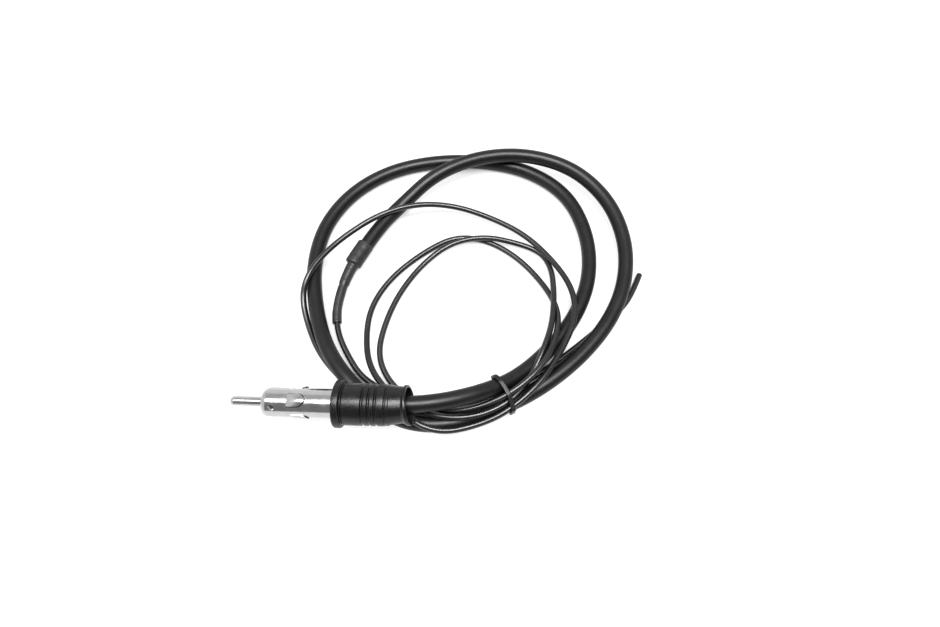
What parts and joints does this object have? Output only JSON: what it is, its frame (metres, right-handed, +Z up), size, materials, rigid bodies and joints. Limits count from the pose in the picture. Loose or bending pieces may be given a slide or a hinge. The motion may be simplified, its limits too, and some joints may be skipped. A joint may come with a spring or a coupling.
{
  "type": "hideaway wire radio antenna",
  "caption": "Coiled wire radio antenna: radio plug with spring-tab barrel and rubber boot, coaxial lead, shrink-sleeved splice and a thin looped radiator wire held by a twist tie.",
  "frame": {"origin": "on the plug's axis at the root of the centre contact, where it leaves the insulating bush", "axes": "-X along the centre contact towards its tip, +X towards the cable, +Z up from the surface that the coil lies on"},
  "size_m": [0.1378, 0.1172, 0.0216],
  "materials": {
    "plated_metal": "bright nickel plate with fine drawing lines",
    "insulator": "dark moulded plastic",
    "cable_core": "pale extruded plastic",
    "copper": "bare copper",
    "solder": "dull solder",
    "boot_rubber": "satin black moulded rubber",
    "cable_jacket": "semi-gloss black vinyl",
    "wire_jacket": "semi-gloss black vinyl",
    "sleeve": "black shrunk tubing with faint ridges",
    "tie": "black plastic-coated wire tie"
  },
  "bodies": {
    "root": {"contact_pin": "plated_metal", "insulator_bush": "insulator", "barrel": "plated_metal", "crimp_ferrule": "plated_metal", "cable_braid": "copper", "cable_dielectric": "cable_core", "cable_conductor": "copper", "contact_solder": "solder", "boot": "boot_rubber", "coax_cable": "cable_jacket", "radiator_wire": "wire_jacket", "splice_solder": "solder", "shrink_sleeve": "sleeve", "twist_tie": "tie"}
  },
  "joints": []
}
